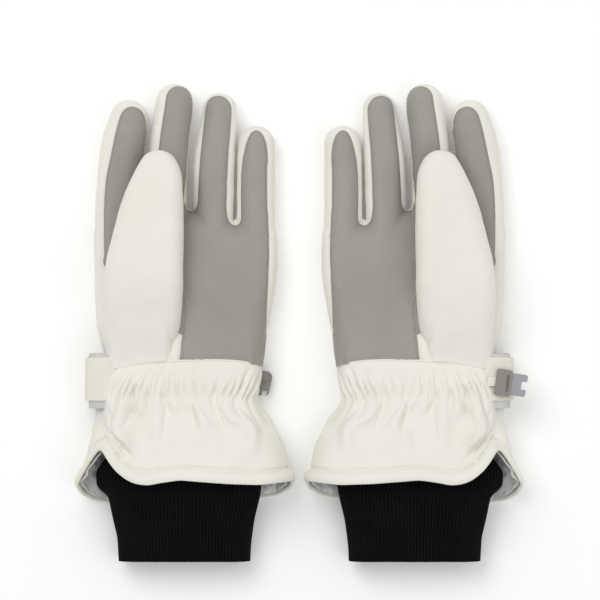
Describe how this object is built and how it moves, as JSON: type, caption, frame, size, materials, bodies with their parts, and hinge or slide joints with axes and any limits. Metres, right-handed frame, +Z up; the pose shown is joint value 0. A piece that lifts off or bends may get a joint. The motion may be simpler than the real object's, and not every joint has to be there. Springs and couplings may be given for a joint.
{
  "type": "snow gloves",
  "caption": "Pair of cream five-finger snow gloves with grey palms, gathered wrists, flared gauntlets, black rib-knit inner cuffs and plastic pair clips.",
  "frame": {"origin": "centre of the pair's bounding box, on the surface the gloves lie on", "axes": "+X towards the right glove, +Y towards the fingertips, +Z up out of the palms"},
  "size_m": [0.2963, 0.3161, 0.0536],
  "materials": {
    "cream_softshell": "matte",
    "grey_palm": "matte",
    "black_rib_knit": "matte",
    "lining_satin": "satin",
    "lining_fleece": "matte",
    "padding": "matte",
    "elastic": "matte",
    "cream_webbing": "matte",
    "clip_plastic": "satin",
    "clip_plate_plastic": "satin"
  },
  "bodies": {
    "left_hand": {"left_back_panel": "cream_softshell", "left_palm_panel": "grey_palm", "left_index_face": "grey_palm", "left_fourchette_index_middle": "cream_softshell", "left_fourchette_middle_ring": "cream_softshell", "left_fourchette_ring_little": "cream_softshell", "left_hand_liner": "lining_fleece", "left_insulation_pad": "padding", "left_thumb_gusset": "grey_palm", "left_wrist_band": "cream_softshell", "left_wrist_elastic": "elastic", "left_gauntlet_shell": "cream_softshell", "left_gauntlet_lining": "lining_satin", "left_hem_roll": "cream_softshell", "left_knit_cuff": "black_rib_knit", "left_strap_loop": "cream_webbing", "left_clip_tape": "cream_webbing"},
    "left_index_tip": {"left_index_tip_back": "cream_softshell", "left_index_tip_face": "grey_palm"},
    "left_middle_tip": {"left_middle_tip_back": "cream_softshell", "left_middle_tip_face": "grey_palm"},
    "left_ring_tip": {"left_ring_tip_back": "cream_softshell", "left_ring_tip_face": "grey_palm"},
    "left_little_tip": {"left_little_tip_back": "cream_softshell", "left_little_tip_face": "grey_palm"},
    "left_thumb": {"left_thumb_shell": "cream_softshell", "left_thumb_face": "grey_palm", "left_thumb_liner": "lining_fleece"},
    "right_hand": {"right_back_panel": "cream_softshell", "right_palm_panel": "grey_palm", "right_index_face": "grey_palm", "right_fourchette_index_middle": "cream_softshell", "right_fourchette_middle_ring": "cream_softshell", "right_fourchette_ring_little": "cream_softshell", "right_hand_liner": "lining_fleece", "right_insulation_pad": "padding", "right_thumb_gusset": "grey_palm", "right_wrist_band": "cream_softshell", "right_wrist_elastic": "elastic", "right_gauntlet_shell": "cream_softshell", "right_gauntlet_lining": "lining_satin", "right_hem_roll": "cream_softshell", "right_knit_cuff": "black_rib_knit", "right_strap_loop": "cream_webbing", "right_clip_tape": "cream_webbing"},
    "right_index_tip": {"right_index_tip_back": "cream_softshell", "right_index_tip_face": "grey_palm"},
    "right_middle_tip": {"right_middle_tip_back": "cream_softshell", "right_middle_tip_face": "grey_palm"},
    "right_ring_tip": {"right_ring_tip_back": "cream_softshell", "right_ring_tip_face": "grey_palm"},
    "right_little_tip": {"right_little_tip_back": "cream_softshell", "right_little_tip_face": "grey_palm"},
    "right_thumb": {"right_thumb_shell": "cream_softshell", "right_thumb_face": "grey_palm", "right_thumb_liner": "lining_fleece"},
    "left_clip": {"left_clip_hook": "clip_plastic"},
    "right_clip": {"right_clip_body": "clip_plastic", "right_clip_plate": "clip_plate_plastic"}
  },
  "joints": [
    {"name": "right_glove_lift", "type": "slide", "parent": "left_hand", "child": "right_hand", "axis": [0, 0, 1], "range_m": [0, 0.12]},
    {"name": "left_index_curl", "type": "hinge", "parent": "left_hand", "child": "left_index_tip", "pos_m": [-0.1147, 0.11865, 0.0243], "axis": [1, 0, 0], "range_deg": [0, 45], "stiffness_Nm_per_rad": 0.03},
    {"name": "left_middle_curl", "type": "hinge", "parent": "left_hand", "child": "left_middle_tip", "pos_m": [-0.0834, 0.11865, 0.0243], "axis": [1, 0, 0], "range_deg": [0, 45], "stiffness_Nm_per_rad": 0.03},
    {"name": "left_ring_curl", "type": "hinge", "parent": "left_hand", "child": "left_ring_tip", "pos_m": [-0.0545, 0.10415, 0.0243], "axis": [1, 0, 0], "range_deg": [0, 50], "stiffness_Nm_per_rad": 0.03},
    {"name": "left_little_curl", "type": "hinge", "parent": "left_hand", "child": "left_little_tip", "pos_m": [-0.0285, 0.09015, 0.0243], "axis": [1, 0, 0], "range_deg": [0, 50], "stiffness_Nm_per_rad": 0.03},
    {"name": "left_thumb_swing", "type": "hinge", "parent": "left_hand", "child": "left_thumb", "pos_m": [-0.1021, 0.006, 0.03], "axis": [0, 0, 1], "range_deg": [0, 35]},
    {"name": "right_index_curl", "type": "hinge", "parent": "right_hand", "child": "right_index_tip", "pos_m": [0.1147, 0.11865, 0.0243], "axis": [1, 0, 0], "range_deg": [0, 45], "stiffness_Nm_per_rad": 0.03},
    {"name": "right_middle_curl", "type": "hinge", "parent": "right_hand", "child": "right_middle_tip", "pos_m": [0.0834, 0.11865, 0.0243], "axis": [1, 0, 0], "range_deg": [0, 45], "stiffness_Nm_per_rad": 0.03},
    {"name": "right_ring_curl", "type": "hinge", "parent": "right_hand", "child": "right_ring_tip", "pos_m": [0.0545, 0.10415, 0.0243], "axis": [1, 0, 0], "range_deg": [0, 50], "stiffness_Nm_per_rad": 0.03},
    {"name": "right_little_curl", "type": "hinge", "parent": "right_hand", "child": "right_little_tip", "pos_m": [0.0285, 0.09015, 0.0243], "axis": [1, 0, 0], "range_deg": [0, 50], "stiffness_Nm_per_rad": 0.03},
    {"name": "right_thumb_swing", "type": "hinge", "parent": "right_hand", "child": "right_thumb", "pos_m": [0.1021, 0.006, 0.03], "axis": [0, 0, -1], "range_deg": [0, 35]},
    {"name": "left_clip_swing", "type": "hinge", "parent": "left_hand", "child": "left_clip", "pos_m": [-0.02266, -0.0357, 0.0055], "axis": [0, 0, 1], "range_deg": [-5, 30]},
    {"name": "right_clip_swing", "type": "hinge", "parent": "right_hand", "child": "right_clip", "pos_m": [0.1305, -0.0388, 0.0356], "axis": [0, 0, 1], "range_deg": [-15, 15]}
  ]
}
